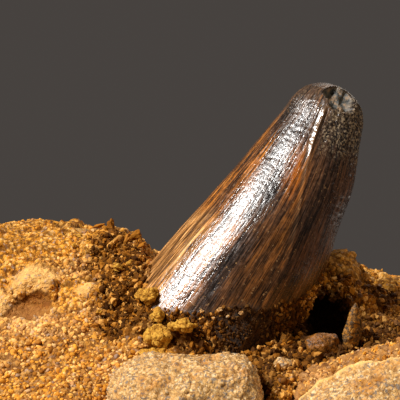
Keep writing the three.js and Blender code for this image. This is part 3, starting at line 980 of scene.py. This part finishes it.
def make_lumps(name, count, seed, subdivisions, jag, stretch, rounded=False):
    """A collection of small irregular lumps, one unit across."""
    rng = np.random.default_rng(seed)
    lumps = bpy.data.collections.new(name)
    for number in range(count):
        lump = add_ball(subdivisions)
        lump.name = f"{name} {number}"
        points = points_of(lump) * MM
        points *= 1 + rng.uniform(-jag, jag, (len(points), 1))
        points *= rng.uniform(*stretch, 3)
        place_points(lump, points / MM)
        if rounded:
            bpy.ops.object.shade_smooth()
        lumps.objects.link(lump)
        bpy.context.scene.collection.objects.unlink(lump)
    return lumps


def random_number(tree, low, high, seed, kind="FLOAT"):
    first, output = {"FLOAT_VECTOR": (0, 0), "FLOAT": (2, 1), "INT": (4, 2)}[kind]
    inputs = {first: low, first + 1: high, "Seed": seed}
    return add_node(tree, "FunctionNodeRandomValue", inputs, data_type=kind).output(output)


def strew(piece_name, ground, lumps, share, material, spacing, seed, sizes, sunk):
    """Lumps strewn over a surface, no closer than the spacing, thinner where the share attribute is below 1,
    and smaller where the ground's attribute fine is above 0."""
    tree, start, end = new_geometry_tree(piece_name)
    strewn = add_node(tree, "GeometryNodeDistributePointsOnFaces", {
        "Mesh": start, "Distance Min": spacing * MM, "Density Max": 1.6 / (spacing * MM) ** 2,
        "Density Factor": read_attribute(tree, share), "Seed": seed}, distribute_method="POISSON")
    small, large = (size * MM for size in sizes)
    size = random_number(tree, 0.0, 1.0, seed + 1).math("POWER", 1.8)
    size = size.math("MULTIPLY_ADD", large - small, small) * (1.0 - read_attribute(tree, "fine"))
    kept = {"Geometry": strewn.output("Points"), "Name": "size", "Value": size}
    kept = add_node(tree, "GeometryNodeStoreNamedAttribute", kept, data_type="FLOAT", domain="POINT")
    sink = strewn.output("Normal").scaled(read_attribute(tree, "size") * -sunk)
    shapes = add_node(tree, "GeometryNodeCollectionInfo", {
        "Collection": lumps, "Separate Children": True, "Reset Children": True})
    turns = random_number(tree, (0, 0, 0), (math.tau,) * 3, seed + 2, "FLOAT_VECTOR")
    placed = add_node(tree, "GeometryNodeInstanceOnPoints", {
        "Points": add_node(tree, "GeometryNodeSetPosition", {"Geometry": kept, "Offset": sink}),
        "Instance": shapes, "Pick Instance": True,
        "Instance Index": random_number(tree, 0, len(lumps.objects) - 1, seed + 3, "INT"),
        "Rotation": add_node(tree, "FunctionNodeEulerToRotation", {0: turns}),
        "Scale": read_attribute(tree, "size")})
    toned = {"Geometry": placed, "Name": "tone", "Value": random_number(tree, 0.0, 1.0, seed + 4)}
    toned = add_node(tree, "GeometryNodeStoreNamedAttribute", toned, data_type="FLOAT", domain="INSTANCE")
    set_inputs(tree, end, {0: add_node(tree, "GeometryNodeRealizeInstances", {0: toned})})
    piece = bpy.data.objects.new(piece_name, ground.data.copy())
    bpy.context.scene.collection.objects.link(piece)
    apply_modifier(piece, "NODES", node_group=tree)
    piece.data.materials.clear()
    piece.data.materials.append(material)
    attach(piece, "root")


def grain_material(name, soiled=False):
    """Single grains in the colours of the bed that they lie on."""
    material, tree = new_material(name)
    # Soil crumbs: darker where the tooth's shade share is set, a painted shade; paler on its rim, partly
    # painted light.
    if soiled:
        darker = 1.8
        masks = {"Place": solid_place(tree).stretched((1 / MM,) * 3),
                 "Gravel": 1.0 - add_attribute(tree, "dusted") * 0.9,
                 "Shaded": add_attribute(tree, "shade")}
    else:
        darker = add_attribute(tree, "gravel") * 0.8 + 1.0
        masks = sand_masks(tree)
    tone = add_attribute(tree, "tone").math("POWER", darker) * 0.72 + 0.16
    colour = place_group(tree, SAND_COLOURS, {**masks, "Tone": tone})
    height = solid_place(tree).noise(5 / MM, 2.0, 0.6)
    return with_surface(material, colour, 0.75, height, strength=1.0, depth=0.1, Specular_IOR_Level=0.08)


# How thickly the grains lie, as a share of the closest packing.
points = points_of(rock)
x, y, z = points.T
bare = (np.clip(z / 2 - 0.3, 0, 1) * (1 - 0.7 * pale) * (1 - 0.95 * scoop) * (1 - 0.9 * knob)
        * (1 - 0.9 * ledge))
clustered = ragged_at(points, (0.28, 1))
in_front = ease(-y, -16, -8) * ease(z, 14, 19)
sand = bare * (1 - gravel) * (1 - 0.6 * mound) * (0.35 + 0.35 * in_front + 0.5 * clustered)
nodules = spots(points, (1, -5.5, -12, 3.0, 4.0), (1, -2.2, -13.4, 2.2, 2.0), (1, 14.8, -10, 3, 2.5))
tooth_foot = spots(points, (1, -5.2, -3.5, 1.6, 4))
crumbs = gravel * bare * in_front * np.clip(1 - 0.85 * nodules - 0.9 * tooth_foot, 0.05, 1)
for side, on_side in (("left", x < -12), ("right", x > 10), ("middle", (x >= -12) & (x <= 10))):
    store(rock, **{"sand_" + side: np.clip(sand * on_side * (1 - slab), 0, 1)})
store(rock, fine=np.maximum(0.45 * pale, 0.4 * mound),
      slab_sand=bare * slab * (1 - gravel) * np.clip(0.95 + 0.5 * clustered, 0, 1),
      packed=slab * (1 - gravel) * bare,
      gravel_left=crumbs * (x < 2),
      gravel_right=crumbs * (x >= 2))

SAND_LUMPS = make_lumps("sand lump", 5, seed=11, subdivisions=1, jag=0.22, stretch=(0.7, 1.25), rounded=True)
SLAB_LUMPS = make_lumps("slab lump", 8, seed=14, subdivisions=2, jag=0.21, stretch=(0.55, 1.5), rounded=True)
CRUMBS = make_lumps("crumb", 7, seed=12, subdivisions=1, jag=0.35, stretch=(0.5, 1.5))
GRAINS = grain_material("sand grains")
for seed, side in enumerate(("left", "middle", "right"), start=20):
    strew("sand_grains_" + side, rock, SAND_LUMPS, "sand_" + side, GRAINS,
          spacing=0.45, seed=seed, sizes=(0.3, 0.8), sunk=0.15)
strew("slab_grains", rock, SLAB_LUMPS, "slab_sand", GRAINS,
      spacing=0.34, seed=60, sizes=(0.32, 0.74), sunk=0.2)
for seed, side in ((30, "left"), (36, "right")):
    strew("gravel_crumbs_" + side, rock, CRUMBS, "gravel_" + side, GRAINS,
          spacing=0.25, seed=seed, sizes=(0.22, 0.9), sunk=0.05)

# The crumbling edges of the right cobble's layers.
store(right_cobble, crumbling=0.5 * ease(stored(right_cobble, "layered"), 0.3, 0.9))
strew("cobble_rim_crumbs", right_cobble, CRUMBS, "crumbling", GRAINS,
      spacing=0.34, seed=71, sizes=(0.25, 0.65), sunk=0.1)

# Soil and crumbs on the tooth: heaped where it leaves the sand, and climbing its shaded right side.
points = points_of(tooth)
x, y, z = points.T
rock_skin = surface_of(rock)
to_rock = np.full(len(points), FAR_OFF)
for i in np.nonzero((z > 18) & (z < 38))[0]:
    away = rock_skin.find_nearest(Vector(points[i]) * MM, SOIL_REACH * MM)[3]
    if away is not None:
        to_rock[i] = away / MM
front = ease(-y, 2, 5)
ring = 1 - ease(to_rock, 0.5, 1.6)
dark_band = np.exp(-(((x - 5.6) / 3.9) ** 4)) * front
heap = ease(-stored(tooth, "above_soil"), -0.2, 0.5) * front
right_foot = ease(x, 8.5, 11) * (1 - ease(z, 26, 29.5)) * front
rim = ease(x, 12.8, 13.4) * (1 - ease(z, 28, 30)) * front
left_base = ease(-x, 2.5, 4.2)
heaped = np.maximum.reduce([ring * (1 - 0.85 * left_base), heap, 0.35 * right_foot, 0.9 * rim])
# Painted shade: crumbs in the dark band under the crown's front and on a strip to its right are painted
# darker.
store(tooth, crumb_share=np.clip(heaped, 0, 1) * (z > 20),
      shade=np.maximum(dark_band, 0.5 * ease(x, 8, 9.5) * (1 - ease(x, 11.8, 12.8))),
      fine=0.4 * dark_band,
      # Crumbs on the right rim are painted paler: partly pale dust, partly painted light.
      dusted=rim)
SOIL_WITH_PAINTED_LIGHT_AND_SHADE = grain_material("soil crumbs", soiled=True)
strew("tooth_base_crumbs", tooth, CRUMBS, "crumb_share", SOIL_WITH_PAINTED_LIGHT_AND_SHADE,
      spacing=0.25, seed=51, sizes=(0.2, 0.8), sunk=0.0)
for lumps in (SAND_LUMPS, SLAB_LUMPS, CRUMBS):
    for lump in list(lumps.objects):
        bpy.data.objects.remove(lump)
    bpy.data.collections.remove(lumps)


def set_crumbs(piece_name, crumbs, seed, material):
    """Larger crumbs and splinters set one by one: where, how large in three directions, and how turned."""
    bits = []
    rng = np.random.default_rng(seed)
    for at, size, turn in crumbs:
        bit = add_ball(3)
        points = points_of(bit) * MM
        far = Vector((9.0 * len(bits), 0, seed))
        points *= np.array([1 + 0.6 * noise.noise(Vector(point) * 2.6 + far) for point in points])[:, None]
        turned = np.array(Euler([math.radians(angle) for angle in turn]).to_matrix())
        points = (points * np.array(size)) @ turned.T + np.array(at)
        place_points(bit, points)
        store_places(bit, "bed_place", points)
        store(bit, tone=np.full(len(points), rng.uniform(0.6, 1.0)))
        bits.append(bit)
    piece = bits[0]
    select_only(piece)
    for bit in bits:
        bit.select_set(True)
    bpy.ops.object.join()
    piece.name = piece_name
    bpy.ops.object.shade_smooth_by_angle(angle=CRUMB_CREASE)
    piece.data.materials.append(material)
    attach(piece, "root")


set_crumbs("brow_splinters", [
    ((-11.8, 9.6, 33.3), (1.1, 1.0, 2.1), (0, 5, 0)),
    ((-8.4, 6.9, 32.8), (1.7, 1.0, 1.0), (0, -32, 10)),
    ((-10.9, 4.5, 32.7), (2.4, 0.6, 0.6), (0, -36, 8)),
    ((-9.4, 5.6, 32.7), (0.7, 0.6, 1.4), (0, 24, 0)),
    ((-12.6, 6.6, 33.1), (1.3, 0.9, 0.7), (10, 12, 30)),
    ((-7.4, 3.6, 32.3), (1.2, 0.6, 0.6), (0, -20, 40)),
    ((-13.4, 10.4, 33.3), (1.4, 0.8, 0.5), (0, -14, 0)),
], 3, SOIL_WITH_PAINTED_LIGHT_AND_SHADE)
set_crumbs("ochre_crumbs", [
    ((-10.2, -2.2, 30.9), (1.6, 1.2, 1.0), (10, 15, 20)),
    ((-8.7, -1.8, 31.2), (1.0, 0.9, 0.9), (0, 40, 0)),
    ((-12.2, -9.4, 27.2), (0.8, 0.7, 0.6), (0, 0, 30)),
    ((-16.1, 3.6, 32.2), (0.8, 0.6, 0.6), (0, 30, 0)),
    ((-15.8, 7.2, 32.7), (1.0, 0.8, 0.5), (0, 10, 60)),
], 5, OCHRE)
set_crumbs("pale_crumbs", [
    ((0.2, -11.8, 28.0), (0.5, 0.5, 0.4), (0, 10, 0)),
    ((2.3, -12.0, 28.2), (0.7, 0.5, 0.5), (0, -15, 0)),
    ((1.6, -12.0, 27.2), (0.4, 0.4, 0.4), (0, 0, 30)),
    ((3.3, -12.0, 27.4), (0.4, 0.4, 0.4), (0, 40, 0)),
    ((4.9, -11.9, 27.8), (0.6, 0.5, 0.5), (0, 8, 0)),
], 7, COBBLE)

# ---- Stand, light and view ----
# A plain pale turntable, a soft key lamp high on the left, and a long lens just above the level of the tooth.

STAND_RADIUS, STAND_THICKNESS = 100 * MM, 4 * MM
TOOTH_MIDDLE = Vector((4, -6, 36))
deselect()
bpy.ops.mesh.primitive_cylinder_add(vertices=128, radius=STAND_RADIUS, depth=STAND_THICKNESS,
                                    location=(0, 0, -STAND_THICKNESS / 2))
stand = bpy.context.active_object
stand.name = "stand"
stand_material, tree = new_material("pale stand")
set_inputs(tree, tree.nodes["Principled BSDF"], {"Base Color": (0.62, 0.6, 0.57, 1), "Roughness": 0.8})
stand.data.materials.append(stand_material)


def add_lamp(name, place, size, watts, colour, mirrored=True):
    """A round lamp aimed at the middle of the tooth."""
    data = bpy.data.lights.new(name, "AREA")
    data.shape, data.size = "DISK", size * MM
    data.energy, data.color = watts, colour
    lamp = bpy.data.objects.new(name, data)
    bpy.context.scene.collection.objects.link(lamp)
    lamp.location = Vector(place) * MM
    lamp.rotation_euler = (Vector(place) - TOOTH_MIDDLE).to_track_quat("Z", "Y").to_euler()
    lamp.visible_camera = False
    lamp.visible_glossy = mirrored


add_lamp("key lamp", (-356, -198, 474), size=130, watts=6.6, colour=(1.0, 0.975, 0.94))
add_lamp("fill lamp", (460, -260, 260), size=500, watts=0.9, colour=(1.0, 0.76, 0.47), mirrored=False)
add_lamp("rear lamp", (220, 420, 360), size=400, watts=1.0, colour=(1.0, 0.95, 0.88))

world = bpy.data.worlds.new("dark studio")
world.use_nodes = True
world.node_tree.nodes["Background"].inputs["Color"].default_value = (0.063, 0.055, 0.05, 1)
bpy.context.scene.world = world
bpy.context.scene.view_settings.view_transform = "Standard"

CAMERA_AIM = Vector((0, 0, 39)) * MM
CAMERA_DISTANCE = 187.5 * MM
CAMERA_RISE = math.radians(12)
camera_data = bpy.data.cameras.new("camera")
camera_data.lens, camera_data.sensor_width = 135, 36
camera = bpy.data.objects.new("camera", camera_data)
bpy.context.scene.collection.objects.link(camera)
back = Vector((0, -math.cos(CAMERA_RISE), math.sin(CAMERA_RISE)))
camera.location = CAMERA_AIM + back * CAMERA_DISTANCE
camera.rotation_euler = back.to_track_quat("Z", "Y").to_euler()
camera_data.clip_start = 10 * MM
bpy.context.scene.camera = camera
